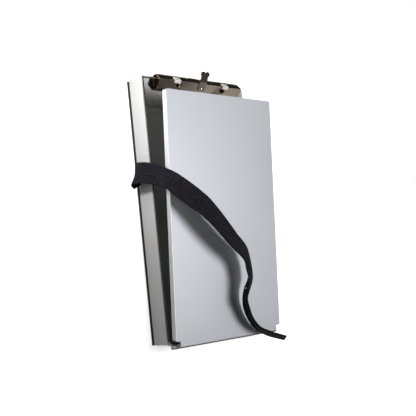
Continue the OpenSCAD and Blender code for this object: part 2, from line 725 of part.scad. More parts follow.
tray_shell();
tray_corner_rivets();
strap_anchor_plate();
strap_anchor_rivets();
strap_webbing();
strap_hook_patch();
tray_hinge_leaf();
tray_hinge_rivets();
lid_plate();
lid_hinge_leaf();
lid_hinge_rivets();
lid_hinge_pin();
cover_hinge_lower_leaf();
riser_rivets();
cover_hinge_pin();
clip_base();
clip_base_rivets();
clip_rod();
clip_spring_left();
clip_spring_right();
cover_panel();
cover_hinge_upper_leaf();
cover_rivets();
clip_jaw();
clip_strap_left();
clip_strap_right();
thumb_lever();
lever_rivet();
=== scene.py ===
"""The looks of a storage clipboard box: a sheet-aluminium case with a hinged lid, a spring paper clip,
a writing cover and a webbing leg strap. Lengths are metres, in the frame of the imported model."""

import json
import math

import bmesh
import bpy
import numpy as np
from mathutils import Matrix, Vector

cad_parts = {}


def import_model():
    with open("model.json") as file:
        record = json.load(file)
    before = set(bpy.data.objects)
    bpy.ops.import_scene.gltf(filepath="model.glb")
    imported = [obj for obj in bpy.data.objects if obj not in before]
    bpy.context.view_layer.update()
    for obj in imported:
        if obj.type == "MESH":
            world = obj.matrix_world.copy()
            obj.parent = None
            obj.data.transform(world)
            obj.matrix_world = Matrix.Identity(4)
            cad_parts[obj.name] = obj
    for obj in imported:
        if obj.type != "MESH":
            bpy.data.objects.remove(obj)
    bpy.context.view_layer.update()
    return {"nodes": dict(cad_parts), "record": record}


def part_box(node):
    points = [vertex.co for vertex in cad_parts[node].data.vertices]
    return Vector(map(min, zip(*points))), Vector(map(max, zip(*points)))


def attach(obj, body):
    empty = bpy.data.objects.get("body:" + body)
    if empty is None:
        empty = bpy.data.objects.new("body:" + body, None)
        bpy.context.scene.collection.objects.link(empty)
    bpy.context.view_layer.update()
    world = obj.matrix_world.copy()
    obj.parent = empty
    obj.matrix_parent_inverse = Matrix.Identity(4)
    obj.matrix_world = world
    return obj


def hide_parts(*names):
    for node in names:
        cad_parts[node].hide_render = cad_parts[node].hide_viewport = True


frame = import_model()

MM = 0.001


def box_middle(node):
    low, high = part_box(node)
    return (low + high) / 2


# ---- Camera ----

CAMERA_PLACE = Vector((-0.5315, -0.0891, 0.6377))
CAMERA_BACK = Vector((-0.6509, -0.1072, 0.7516))     # from what it looks at, towards the camera
CAMERA_UP = Vector((0.0102, 0.9887, 0.1499))
CAMERA_LENS = 60.44
CAMERA_FILM = 36
CAMERA_REACH = (0.01, 20)

# ---- Studio ----

KEY_PLACE = Vector((0.10, -0.05, 0.70))
KEY_SIZE = 0.28
KEY_POWER = 3.45
LAMPS = {                 # place, aim, size and power
    "cover end lamp": ((0.30, 0.40, 0.22), (0.05, 0.127, 0.06), 0.12, 0.5),
    "wall lamp": ((-0.27, 0.13, 0.12), (-0.079, 0.10, 0.03), 0.05, 0.54),
    "wall end lamp": ((-0.19, 0.17, 0.06), (-0.079, 0.12, 0.02), 0.05, 0.09),
}
CARDS = {                 # near low corner, far high corner, tone and glow
    "dark card": ((-0.12, 0.21, 0.0), (0.40, 0.21, 0.16), 0.008, 0.0),        # behind the clip
    "soft panel": ((0.12, -0.20, 0.10), (0.60, -0.20, 0.40), 0.8, 0.15),      # faces the clip's front slope
    "high panel": ((0.22, 0.350, 0.62), (0.56, 0.60, 0.62), 0.8, 1.4),        # overhead, beyond the clip
    "high shade": ((0.22, 0.22, 0.62), (0.60, 0.335, 0.62), 0.02, 0.0),       # next to the high panel
    "corner panel": ((0.645, 0.33, 0.62), (0.75, 0.60, 0.62), 0.8, 1.3),      # on the high panel's far side
    "side panel": ((0.09, -0.08, 0.001), (0.30, 0.10, 0.001), 0.8, 1.6),      # on the floor beside the case
}
FLOOR_REACH = 0.47        # half its side
FLOOR_HEIGHT = -0.0026
FLOOR_TONE = 0.38         # what it gives back to the case
FLOOR_SHOWN = 0.95        # what the camera sees
FLOOR_PAINTED_SHADE = 0.05        # painted shade: the tone the camera sees of it under the case
FLOOR_IN_METAL = 0.15     # the shown tone's share in what metal mirrors
FLOOR_GLOW = 0.68         # keeps the backdrop white away from the lamp
METAL_GLOW = 0.02         # the floor's glow in what metal mirrors
CASE_PAINTED_SHADE_EDGE = (-0.4 * MM, 0.8 * MM)     # where the floor's painted shade under the case turns light, out from the case
ROOM_TONES = ((0.0, 0.04), (0.5, 0.05), (0.7, 0.07), (1.0, 0.08))      # tone by the height looked at

# ---- Case and cover ----

CASE_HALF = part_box("tray_shell")[1].xy
CUT_EDGE = 0.12 * MM
FOLDED_EDGE = 0.22 * MM
COVER_EDGE = 0.5 * MM
COVER_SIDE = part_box("cover_panel")[1].x
FOLD_HIGHLIGHT_FADE = 0.4 * MM      # how softly the painted highlight on a fold starts
RIVET_EDGE = 0.08 * MM
JOINED = 0.002 * MM       # corners nearer than this are one
TOO_SHORT = 0.001 * MM    # edges shorter than this go
FLAT_TURN = math.radians(0.4)
SHARP_TURN = math.radians(35)

# ---- Clip ----

JAW_EDGE = 0.45 * MM
LEVER_EDGE = 0.35 * MM
ROD = box_middle("clip_rod")
COIL_RADIUS = 1.85 * MM
WIRE_RADIUS = 0.37 * MM
WIRE_SIDES = 10
LEG_WIRE_RADIUS = 0.98 * WIRE_RADIUS     # a hair thinner where it leaves the coil
COILS = 7
COIL_PITCH = 0.73 * MM
COIL_STEPS = 16                          # points in a turn
COIL_LEAD = math.radians(75)             # from the base leg's direction to the first coil
LAST_TURN = 0.32                         # the part of a turn after the last whole coil
SPRING_X = 30.4 * MM
BASE_LEG_END = Vector((139.4, 26.8)) * MM
JAW_LEG_END = Vector((138.3, 31.3)) * MM
JAW_LEG_RISE = Vector((0, 0.6, 0.3)) * MM
JAW_LEG_BEND = 0.4 * MM
JAW_LEG_TURN = 3.5 * MM

# ---- Strap: the same chosen points as in the part, in millimetres ----

CLIP_SIDE = [
    (-58, 53, 2.7), (-76, 53, 2.7), (-81, 53, 2.8), (-84, 53, 7), (-85, 51, 20), (-83, 48, 32),
    (-82, 43, 45), (-81, 37, 58), (-77, 31, 67), (-69, 23, 73), (-59, 14, 77), (-46, 3, 79),
    (-34, -9, 79), (-20, -23, 77), (-5, -37, 73), (13, -53, 68), (20, -72, 62), (20, -88, 57),
    (16, -99, 53), (15, -110, 50), (18, -122, 47), (25, -135, 45), (36, -146, 43), (51, -155, 43),
    (68, -161, 43), (82, -165, 43),
]
FAR_SIDE = [
    (-58, 28, 2.7), (-76, 28, 2.7), (-81, 27, 2.8), (-87, 24, 2.7), (-96, 27, 12), (-94, 25, 32),
    (-91, 20, 49), (-90, 14, 64), (-87, 7, 71), (-78, -1, 74), (-69, -10, 79), (-60, -18, 83),
    (-50, -28, 85), (-35, -42, 84), (-21, -54, 82), (-3, -67, 78), (1, -77, 76), (3, -88, 76),
    (2, -98, 75), (1, -109, 72), (6, -120, 69), (13, -132, 66), (24, -143, 64), (39, -150, 64),
    (54, -155, 63), (67, -159, 62),
]
CURVE_STEPS = 12          # steps of the smooth curve from one chosen point to the next
STRAP_WIDTH = 25.4 * MM
STRAP_THICKNESS = 1.3 * MM
EDGE_ROUNDING = 0.5 * MM
EDGE_STEPS = 5
CURL = 4.5 * MM           # how far the webbing bows across its width where it twists
CURL_AT = 17              # the chosen point where it twists
CURL_REACH = 28 * MM
WEB_CORDS = 11            # lengthwise cords over the width
WEB_COLUMNS = 10
RIB_PITCH = 1.4 * MM
RIB_HEIGHT = 0.07 * MM

# ---- Hook patch and thread ----

PATCH_FROM = 17           # the chosen point where the hook patch starts
PATCH_TO_END = 0.6 * MM
PATCH_THICKNESS = 0.5 * MM
PATCH_INSET = 1.5 * MM
PATCH_COLUMNS = 6
PATCH_STEP = 1.5 * MM
HOOK_COUNT = 2600
HOOK_SEED = 7
HOOK_WIRE_RADIUS = 0.05 * MM
HOOK_BEND = ((0, 0, 0), (0, 0, 0.22), (0.06, 0, 0.3), (0.16, 0, 0.27))     # in millimetres
HOOKS_INSET = 1 * MM
HOOKS_TO_END = 2 * MM
TAPE_FACE = -STRAP_THICKNESS / 2 - PATCH_THICKNESS     # the lift of the face that the hooks stand on
TAPE_FACE_STEPS = 50
SEAM_FROM_START = 2 * MM
SEAM_TO_END = 2.6 * MM
SEAM_INSET = 1.6 * MM
SEAM_STEP = 1.5 * MM
STITCH_PITCH = 2.8 * MM
STITCH_LENGTH = 2.0 * MM
STITCH_SIDES, STITCH_RINGS = 8, 6
THREAD_RADIUS = 0.22 * MM
FRONT_SEAM_LIFT = STRAP_THICKNESS / 2 + 0.6 * RIB_HEIGHT     # a little into the ribs
TACK_RADIUS = 1.2 * THREAD_RADIUS
TACK_AT = 10.5 * MM       # from the hook patch's start
TACK_LENGTH = 1.6 * MM
TACK_START = 0.10         # the share of the width where it starts
TACK_REACH = 0.13         # the share of the width that it spans
TACK_TURNS = 9

# ---- Colours ----

TRAY_GREY = (0.60, 0.597, 0.585)
LID_GREY = (0.46, 0.46, 0.445)
COVER_BLUE_GREY = (0.555, 0.57, 0.605)
# painted highlight: a lighter colour laid over the cover's side fold lines
FOLD_PAINTED_HIGHLIGHT = (0.80, 0.79, 0.785)
RIVET_GREY = (0.70, 0.70, 0.70)
ZINC_GREY = (0.90, 0.90, 0.88)
HINGE_GREY = (0.56, 0.56, 0.55)
SPRING_GREY = (0.55, 0.54, 0.52)
WARM_NICKEL = (0.51, 0.435, 0.34)
DULL_NICKEL = (0.36, 0.305, 0.24)
PALE_NICKEL = (0.80, 0.79, 0.76)
WEB_DARK, WEB_LIGHT = (0.0005, 0.0005, 0.001), (0.026, 0.024, 0.033)
TAPE_DARK, TAPE_LIGHT = (0.001, 0.001, 0.001), (0.010, 0.010, 0.011)
THREAD_DARK, THREAD_LIGHT = (0.012, 0.012, 0.014), (0.05, 0.05, 0.055)
TACK_DARK, TACK_LIGHT = (0.50, 0.50, 0.49), (0.80, 0.79, 0.77)
SCRATCHES = 0.5           # how strongly hair scratches show on sheet
SMUDGE = 0.07             # how far smudges change the sheet's roughness


# ---- Materials ----

class Wire:
    """A value that runs through a shader tree. Python's operators on it add Math nodes."""

    def __init__(self, board, socket):
        self.board, self.socket = board, socket

    def maths(self, operation, *values):
        return self.board.node("ShaderNodeMath", {"operation": operation}, dict(enumerate(values)))

    def __add__(self, other):
        return self.maths("ADD", self, other)

    def __sub__(self, other):
        return self.maths("SUBTRACT", self, other)

    def __rsub__(self, other):
        return self.maths("SUBTRACT", other, self)

    def __mul__(self, other):
        return self.maths("MULTIPLY", self, other)

    def __gt__(self, other):
        return self.maths("GREATER_THAN", self, other)

    __radd__, __rmul__ = __add__, __mul__

    def sine(self):
        return self.maths("SINE", self)

    def size(self):
        return self.maths("ABSOLUTE", self)

    def between(self, low, high):
        """0 at low, 1 at high, with a soft turn at both."""
        return self.board.node("ShaderNodeMapRange", {"interpolation_type": "SMOOTHSTEP"},
                               {"Value": self, "From Min": low, "From Max": high})


class Board:
    """A tree of shader nodes that a script adds to."""

    def __init__(self, tree):
        self.tree = tree

    def node(self, kind, settings=None, inputs=None, output=0):
        """Adds a node: its settings first, then the values or wires of its sockets."""
        node = self.tree.nodes.new(kind)
        for name, value in (settings or {}).items():
            if name == "stops":
                stops = node.color_ramp.elements
                for place, _ in value[1:-1]:
                    stops.new(place)
                for stop, (place, colour) in zip(stops, value):
                    stop.position, stop.color = place, (*colour, 1)
            else:
                setattr(node, name, value)
        for name, value in (inputs or {}).items():
            if isinstance(value, Wire):
                self.tree.links.new(value.socket, node.inputs[name])
            else:
                node.inputs[name].default_value = value
        return Wire(self, node.outputs[output])

    def axis(self, place, index):
        """One axis of a place: 0 for x, 1 for y, 2 for z."""
        return self.node("ShaderNodeSeparateXYZ", {}, {0: place}, output=index)


class Finish(Board):
    """One material: a Principled surface, its constant values, and the nodes that vary it."""

    def __init__(self, name, **constants):
        self.material = bpy.data.materials.new(name)
        self.material.use_nodes = True
        super().__init__(self.material.node_tree)
        self.surface = self.tree.nodes["Principled BSDF"]
        for name, value in constants.items():
            socket = name.replace("_", " ").title().replace("Ior", "IOR")
            self.surface.inputs[socket].default_value = value

    def feed(self, socket, wire):
        self.tree.links.new(wire.socket, self.surface.inputs[socket])

    def spot(self, scale=(1, 1, 1), turn=(0, 0, 0)):
        """The object's own coordinates, scaled per metre."""
        place = self.node("ShaderNodeTexCoord", output="Object")
        return self.node("ShaderNodeMapping", {}, {"Vector": place, "Scale": scale, "Rotation": turn})

    def noise(self, spot, scale=1.0, detail=2.0, rough=0.5):
        return self.node("ShaderNodeTexNoise", {}, {"Vector": spot, "Scale": scale, "Detail": detail,
                                                    "Roughness": rough})

    def blend(self, share, first, second):
        """Mixes two colours, each a colour or a wire."""
        colours = {socket: value if isinstance(value, Wire) else (*value, 1)
                   for socket, value in ((6, first), (7, second))}
        return self.node("ShaderNodeMix", {"data_type": "RGBA"}, {0: share, **colours}, output=2)

    def bump(self, height, depth):
        self.feed("Normal", self.node("ShaderNodeBump", {}, {"Height": height, "Distance": depth}))


def shaded(colour, factor):
    return tuple(min(1.0, part * factor) for part in colour)


def sheet_finish(name, colour, metallic, roughness, grain_run, grain_depth, fold_highlight=None):
    """Rolled sheet: a fine grain along one direction, soft smudges and a few hair scratches.

    Grain_run is the grain's fineness along x, y and z. The last argument gives how far out the side fold
    lines lie and the lighter colour painted over them as a highlight.
    """
    finish = Finish(name, metallic=metallic, specular_ior_level=0.5)
    grain = finish.noise(finish.spot(grain_run), 1.0, 3.0, 0.6)
    cloud = finish.noise(finish.spot(), 14.0, 3.0, 0.55)
    speck = finish.noise(finish.spot(), 900.0, 2.0, 0.6)
    hair = finish.noise(finish.spot((60, 900, 60), (0, 0, 0.5)), 1.0, 1.0, 0.4)
    scratch = hair.between(0.74, 0.78) * cloud.between(0.45, 0.6) * SCRATCHES
    tone = grain * 0.5 + cloud * 0.35 + speck * 0.15
    body = finish.blend(tone, shaded(colour, 0.93), shaded(colour, 1.06))
    if fold_highlight:
        fold_x, highlight_colour = fold_highlight
        side = finish.axis(finish.spot(), 0).size()
        # paints a lighter highlight over the cover's side fold lines
        body = finish.blend(side.between(fold_x - FOLD_HIGHLIGHT_FADE, fold_x), body, highlight_colour)
    finish.feed("Base Color", finish.blend(scratch * 0.35, body, shaded(colour, 1.25)))
    finish.feed("Roughness", (grain - 0.5) * 0.10 + (cloud - 0.5) * SMUDGE + roughness + scratch * 0.1)
    finish.bump(grain * 0.7 + speck * 0.3 - scratch * 0.5, grain_depth)
    return finish.material


def nickel_finish(name, colour, roughness, cloudiness):
    """Bright plate over pressed steel: smooth, with wipe marks and a faint orange peel."""
    finish = Finish(name, metallic=1.0)
    cloud = finish.noise(finish.spot(), 60.0, 4.0, 0.6)
    wipe = finish.noise(finish.spot((500, 40, 500), (0, 0, 0.3)), 1.0, 2.0, 0.5)
    peel = finish.noise(finish.spot(), 700.0, 1.0, 0.5)
    dark, light = shaded(colour, 1 - cloudiness), shaded(colour, 1 + cloudiness)
    finish.feed("Base Color", finish.blend(cloud, dark, light))
    finish.feed("Roughness", cloud * 0.10 + wipe * 0.06 + roughness)
    finish.bump(peel * 0.6 + wipe * 0.4, 0.012 * MM)
    return finish.material


def drawn_steel_finish(name, colour, grain_run, roughness=0.32):
    """Drawn or rolled steel with a light lengthwise grain and darker traces of oil."""
    finish = Finish(name, metallic=1.0)
    grain = finish.noise(finish.spot(grain_run), 1.0, 3.0, 0.6)
    oil = finish.noise(finish.spot(), 120.0, 3.0, 0.6)
    body = finish.blend(grain, shaded(colour, 0.86), shaded(colour, 1.08))
    finish.feed("Base Color", finish.blend(oil.between(0.55, 0.75) * 0.4, body, shaded(colour, 0.55)))
    finish.feed("Roughness", grain * 0.12 + oil * 0.1 + (roughness - 0.11))
    finish.bump(grain, 0.02 * MM)
    return finish.material


def webbing_finish():
    """Black woven webbing. Its UV map counts webbing widths across and along."""
    finish = Finish("black webbing", sheen_weight=0.02, sheen_roughness=0.4, specular_ior_level=0.10)
    spot = finish.node("ShaderNodeUVMap", {"uv_map": "weave"})
    across, along = finish.axis(spot, 0), finish.axis(spot, 1)
    rows = STRAP_WIDTH / RIB_PITCH
    warp = (across * (math.pi * WEB_CORDS)).sine()
    shift = (warp > 0) * (math.pi / 2)
    weft = (along * (math.pi * rows) + shift).sine().size()
    yarn = warp.size()
    fine_spot = finish.node("ShaderNodeMapping", {}, {"Vector": spot, "Scale": (30, 30, 30)})
    fuzz = finish.noise(fine_spot, 6.0, 4.0, 0.7)
    speck = finish.noise(finish.spot(), 700.0, 1.0, 0.5).between(0.42, 0.66)
    fade = finish.noise(finish.spot(), 45.0, 3.0, 0.6)
    light = yarn * 0.30 + weft * yarn * 0.15 + speck * 0.55 + fade * 0.2 - 0.2
    finish.feed("Base Color", finish.blend(light, WEB_DARK, WEB_LIGHT))
    finish.feed("Roughness", fuzz * 0.2 + 0.7)
    finish.bump(weft * yarn * 0.8 + fuzz * 0.25, 0.5 * MM)
    return finish.material


def hook_tape_finish():
    finish = Finish("black hook tape", specular_ior_level=0.15)
    grid = finish.noise(finish.spot(), 1500.0, 2.0, 0.7)
    wear = finish.noise(finish.spot(), 90.0, 3.0, 0.6)
    finish.feed("Base Color", finish.blend(grid * 0.7 + wear * 0.3, TAPE_DARK, TAPE_LIGHT))
    finish.feed("Roughness", grid * 0.3 + 0.55)
    finish.bump(grid, 0.15 * MM)
    return finish.material


def thread_finish(name, dark, light):
    finish = Finish(name, sheen_weight=0.3)
    twist = finish.noise(finish.spot(), 2500.0, 1.0, 0.5)
    finish.feed("Base Color", finish.blend(twist, dark, light))
    finish.feed("Roughness", twist * 0.3 + 0.5)
    finish.bump(twist, 0.05 * MM)
    return finish.material


TRAY = sheet_finish("tray aluminium", TRAY_GREY, 0.20, 0.50, (1500, 30, 1500), 0.010 * MM)
LID = sheet_finish("lid aluminium", LID_GREY, 1.0, 0.13, (1500, 40, 1500), 0.004 * MM)
# the cover carries a painted highlight on its side fold lines
COVER = sheet_finish("cover aluminium", COVER_BLUE_GREY, 0.9, 0.62, (1700, 25, 1700), 0.008 * MM,
                     fold_highlight=(COVER_SIDE - COVER_EDGE, FOLD_PAINTED_HIGHLIGHT))
RIVET = sheet_finish("rivet aluminium", RIVET_GREY, 0.8, 0.34, (700, 700, 700), 0.02 * MM)
HINGE = drawn_steel_finish("hinge steel", HINGE_GREY, (1200, 1200, 1200))
LONG_HINGE = drawn_steel_finish("lid hinge steel", HINGE_GREY, (1500, 60, 1500))
CROSS_HINGE = drawn_steel_finish("cover hinge steel", HINGE_GREY, (60, 1500, 1500))
NICKEL = nickel_finish("clip nickel", WARM_NICKEL, 0.06, 0.12)
LEVER = nickel_finish("lever nickel", DULL_NICKEL, 0.10, 0.2)
BRIGHT = nickel_finish("bright nickel", PALE_NICKEL, 0.12, 0.08)
ZINC = sheet_finish("bright zinc", ZINC_GREY, 0.30, 0.35, (900, 900, 900), 0.006 * MM)
SPRING = drawn_steel_finish("spring wire", SPRING_GREY, (900, 900, 900), 0.26)
WEBBING = webbing_finish()
HOOK_TAPE = hook_tape_finish()
THREAD = thread_finish("black thread", THREAD_DARK, THREAD_LIGHT)
LIGHT_THREAD = thread_finish("light thread", TACK_DARK, TACK_LIGHT)


# ---- Making pieces ----

def set_out(name, data):
    """A new object in the scene."""
    thing = bpy.data.objects.new(name, data)
    bpy.context.collection.objects.link(thing)
    return thing


def new_piece(name, mesh, material, body, smooth=True):
    """A finished piece of the object that rides on a body."""
    piece = set_out(name, mesh)
    mesh.materials.clear()
    mesh.materials.append(material)
    mesh.polygons.foreach_set("use_smooth", [smooth] * len(mesh.polygons))
    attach(piece, body)
    return piece


def mesh_of(name, points, faces):
    mesh = bpy.data.meshes.new(name)
    mesh.from_pydata([tuple(point) for point in points], [], faces)
    mesh.validate()
    mesh.update()
    return mesh


def line_mesh(name, points):
    mesh = bpy.data.meshes.new(name)
    mesh.from_pydata([tuple(point) for point in points], [(i, i + 1) for i in range(len(points) - 1)], [])
    return mesh


def merged(node):
    """A copy of a CAD node's mesh with its corners joined and its flat faces whole."""
    mesh = frame["nodes"][node].data.copy()
    work = bmesh.new()
    work.from_mesh(mesh)
    bmesh.ops.remove_doubles(work, verts=work.verts, dist=JOINED)
    bmesh.ops.dissolve_degenerate(work, edges=work.edges, dist=TOO_SHORT)
    bmesh.ops.dissolve_limit(work, angle_limit=FLAT_TURN, verts=work.verts, edges=work.edges)
    work.to_mesh(mesh)
    work.free()
    for attribute in ("custom_normal", "sharp_edge", "sharp_face"):
        if attribute in mesh.attributes:
            mesh.attributes.remove(mesh.attributes[attribute])
    return mesh


def carrier(node):
    """The body that carries a CAD node."""
    bodies = frame["record"]["behaviour"]["bodies"]
    return next(body for body, nodes in bodies.items() if node in nodes)


def dressed(node, material, edge=CUT_EDGE):
    """The CAD node's own shape with its edges broken, which stands for the node."""
    piece = new_piece(node + "_finished", merged(node), material, carrier(node))
    bevel = piece.modifiers.new("broken edges", "BEVEL")
    bevel.width = edge
    bevel.segments = 2
    bevel.limit_method = "ANGLE"
    bevel.angle_limit = SHARP_TURN
    bevel.harden_normals = True
    bevel.use_clamp_overlap = True
    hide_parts(node)


# ---- Geometry Nodes ----

def node_tree(name, sizes):
    """A Geometry Nodes tree with a geometry input and output and named size inputs."""
    tree = bpy.data.node_groups.new(name, "GeometryNodeTree")
    tree.interface.new_socket("Geometry", in_out="INPUT", socket_type="NodeSocketGeometry")
    tree.interface.new_socket("Geometry", in_out="OUTPUT", socket_type="NodeSocketGeometry")
    for size, kind in sizes.items():
        tree.interface.new_socket(size, in_out="INPUT", socket_type=kind)
    return tree, tree.nodes.new("NodeGroupInput"), tree.nodes.new("NodeGroupOutput")


def tree_node(tree, kind, settings=None, **links):
    """Adds a node to a Geometry Nodes tree. A link is a value, or another node's output socket."""
    node = tree.nodes.new(kind)
    for name, value in (settings or {}).items():
        setattr(node, name, value)
    for name, value in links.items():
        socket = node.inputs[name.replace("_", " ")]
        if isinstance(value, bpy.types.NodeSocket):
            tree.links.new(value, socket)
        else:
            socket.default_value = value
    return node


def close_tree(tree, start, end, geometry):
    """Ends a tree in Realize Instances and Set Material."""
    whole = tree_node(tree, "GeometryNodeRealizeInstances", Geometry=geometry)
    painted = tree_node(tree, "GeometryNodeSetMaterial", Geometry=whole.outputs[0],
                        Material=start.outputs["Material"])
    tree.links.new(painted.outputs[0], end.inputs[0])


def grown(name, source, tree, values):
    """The plain mesh that a tree makes from a source mesh."""
    holder = set_out(name, source)
    modifier = holder.modifiers.new("grown", "NODES")
    modifier.node_group = tree
    sockets = {item.name: item.identifier for item in tree.interface.items_tree
               if item.item_type == "SOCKET" and item.in_out == "INPUT"}
    for size, value in values.items():
        modifier[sockets[size]] = value
    view = bpy.context.evaluated_depsgraph_get()
    mesh = bpy.data.meshes.new_from_object(holder.evaluated_get(view), depsgraph=view)
    bpy.data.objects.remove(holder)
    return mesh


def wire_tree():
    """Draws a round wire along a path of points."""
    tree, start, end = node_tree("wire along a path", {
        "Radius": "NodeSocketFloat", "Material": "NodeSocketMaterial"})
    path = tree_node(tree, "GeometryNodeMeshToCurve", Mesh=start.outputs["Geometry"])
    ring = tree_node(tree, "GeometryNodeCurvePrimitiveCircle", Resolution=WIRE_SIDES,
                     Radius=start.outputs["Radius"])
    wire = tree_node(tree, "GeometryNodeCurveToMesh", Curve=path.outputs[0],
                     Profile_Curve=ring.outputs[0], Fill_Caps=True)
    close_tree(tree, start, end, wire.outputs[0])
    return tree


def stitch_tree():
    """Lays stitches along a path of points."""
    tree, start, end = node_tree("stitches along a path", {
        "Pitch": "NodeSocketFloat", "Half Length": "NodeSocketFloat", "Radius": "NodeSocketFloat",
        "Material": "NodeSocketMaterial"})
    path = tree_node(tree, "GeometryNodeMeshToCurve", Mesh=start.outputs["Geometry"])
    even = tree_node(tree, "GeometryNodeResampleCurve", {"mode": "LENGTH"}, Curve=path.outputs[0],
                     Length=start.outputs["Pitch"])
    stitch = tree_node(tree, "GeometryNodeMeshUVSphere", Segments=STITCH_SIDES,
                       Rings=STITCH_RINGS, Radius=1.0)
    tangent = tree_node(tree, "GeometryNodeInputTangent")
    turn = tree_node(tree, "FunctionNodeAlignRotationToVector", {"axis": "Z"}, Vector=tangent.outputs[0])
    shape = tree_node(tree, "ShaderNodeCombineXYZ", X=start.outputs["Radius"], Y=start.outputs["Radius"],
                      Z=start.outputs["Half Length"])
    laid = tree_node(tree, "GeometryNodeInstanceOnPoints", Points=even.outputs[0],
                     Instance=stitch.outputs[0], Rotation=turn.outputs[0], Scale=shape.outputs[0])
    close_tree(tree, start, end, laid.outputs[0])
    return tree


def hook_tree():
    """Scatters small hooks over a face, standing on it."""
    tree, start, end = node_tree("hooks on tape", {
        "Density": "NodeSocketFloat", "Hook": "NodeSocketObject", "Material": "NodeSocketMaterial"})
    points = tree_node(tree, "GeometryNodeDistributePointsOnFaces", Mesh=start.outputs["Geometry"],
                       Density=start.outputs["Density"], Seed=HOOK_SEED)
    hook = tree_node(tree, "GeometryNodeObjectInfo", Object=start.outputs["Hook"])
    placed = tree_node(tree, "GeometryNodeInstanceOnPoints", Points=points.outputs["Points"],
                       Instance=hook.outputs["Geometry"], Rotation=points.outputs["Rotation"])
    close_tree(tree, start, end, placed.outputs[0])
    return tree


WIRE_TREE = wire_tree()
STITCH_TREE = stitch_tree()
HOOK_TREE = hook_tree()


def wire_along(name, path, radius, material):
    """The mesh of a round wire along a path of points."""
    return grown(name, line_mesh(name, path), WIRE_TREE, {"Radius": radius, "Material": material})


# ---- Build: case, hinges, clip and rivets ----

dressed("tray_shell", TRAY, FOLDED_EDGE)
dressed("tray_hinge_leaf", LONG_HINGE)
dressed("strap_anchor_plate", HINGE)
dressed("lid_plate", LID, FOLDED_EDGE)
dressed("lid_hinge_leaf", LONG_HINGE)
dressed("lid_hinge_pin", HINGE)
dressed("cover_hinge_lower_leaf", CROSS_HINGE)
dressed("cover_hinge_pin", HINGE)
dressed("cover_panel", COVER, COVER_EDGE)
dressed("cover_hinge_upper_leaf", CROSS_HINGE)
dressed("clip_base", NICKEL)
dressed("clip_rod", BRIGHT)
dressed("clip_jaw", NICKEL, JAW_EDGE)
dressed("clip_strap_left", ZINC)
dressed("clip_strap_right", ZINC)
dressed("thumb_lever", LEVER, LEVER_EDGE)
for rivets in ("tray_corner_rivets", "strap_anchor_rivets", "tray_hinge_rivets", "lid_hinge_rivets",
               "riser_rivets", "clip_base_rivets", "cover_rivets"):
    dressed(rivets, RIVET, RIVET_EDGE)
dressed("lever_rivet", BRIGHT, RIVET_EDGE)


# ---- Build: clip springs ----

def coil_path(side):
    """The wire from its foot on the base, then round the rod."""
    first = math.atan2(BASE_LEG_END.y - ROD.z, BASE_LEG_END.x - ROD.y) + COIL_LEAD
    inner_x = SPRING_X - COIL_PITCH * COILS
    path = [Vector((side * inner_x, BASE_LEG_END.x, BASE_LEG_END.y))]
    steps = COIL_STEPS * COILS
    for step in range(steps + 1):
        turn = first + 2 * math.pi * (COILS + LAST_TURN) * step / steps
        x = inner_x + COIL_PITCH * COILS * step / steps
        path.append(Vector((side * x, ROD.y + COIL_RADIUS * math.cos(turn),
                            ROD.z + COIL_RADIUS * math.sin(turn))))
    return path


def jaw_leg_path(side, coil_end):
    """The wire from the coil's end to its foot under the jaw."""
    foot = Vector((side * SPRING_X, JAW_LEG_END.x, JAW_LEG_END.y))
    return [coil_end, foot + JAW_LEG_RISE, foot + Vector((side * JAW_LEG_BEND, 0, 0)),
            foot + Vector((side * JAW_LEG_TURN, 0, 0))]


def clip_springs():
    for side, word in ((-1, "left"), (1, "right")):
        coil = coil_path(side)
        mesh = wire_along("coil", coil, WIRE_RADIUS, SPRING)
        piece = new_piece("clip_spring_" + word + "_coil", mesh, SPRING, "lid")
        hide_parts("clip_spring_" + word)
        mesh = wire_along("leg", jaw_leg_path(side, coil[-1]), LEG_WIRE_RADIUS, SPRING)
        new_piece("clip_spring_" + word + "_leg", mesh, SPRING, "jaw")


clip_springs()


# ---- Build: strap ----

def smooth_curve(points):
    """A smooth curve through the chosen points, in metres."""
    points = np.array(points, float) * MM
    padded = np.vstack([points[:1], points, points[-1:]])
    curve = []
    for i in range(1, len(points)):
        before, here, there, beyond = padded[i - 1:i + 3]
        for s in np.arange(CURVE_STEPS) / CURVE_STEPS:
            curve.append(0.5 * (2 * here + s * (there - before)
                                + s * s * (2 * before - 5 * here + 4 * there - beyond)
                                + s * s * s * (3 * here - before - 3 * there + beyond)))
    curve.append(points[-1])
    return np.array(curve)


class Band:
    """The strap's middle surface: a place on it is given by the length along it and the share across it."""

    def __init__(self):
        self.left, self.right = smooth_curve(CLIP_SIDE), smooth_curve(FAR_SIDE)
        middle = (self.left + self.right) / 2
        self.run = np.concatenate([[0], np.cumsum(np.linalg.norm(np.diff(middle, axis=0), axis=1))])
        width = self.right - self.left
        side = width / np.linalg.norm(width, axis=1)[:, None]
        up = np.cross(side, np.gradient(middle, axis=0))
        self.up = up / np.linalg.norm(up, axis=1)[:, None]
        self.length = self.run[-1]

    def from_point(self, index):
        """The length along the band at a chosen point."""
        return self.run[index * CURVE_STEPS]

    def at(self, length, share, lift):
        """The place at a length, a share across and a lift from the middle surface.

        The share is 0 on the side towards the clip and 1 on the far side.
        """
        def read(values):
            return np.array([np.interp(length, self.run, values[:, axis]) for axis in range(3)])
        left, right, up = read(self.left), read(self.right), read(self.up)
        twist = math.exp(-((length - self.from_point(CURL_AT)) / CURL_REACH) ** 2)
        bow = CURL * twist * 4 * share * (1 - share)
        return left + (right - left) * share + up / np.linalg.norm(up) * (lift + bow)


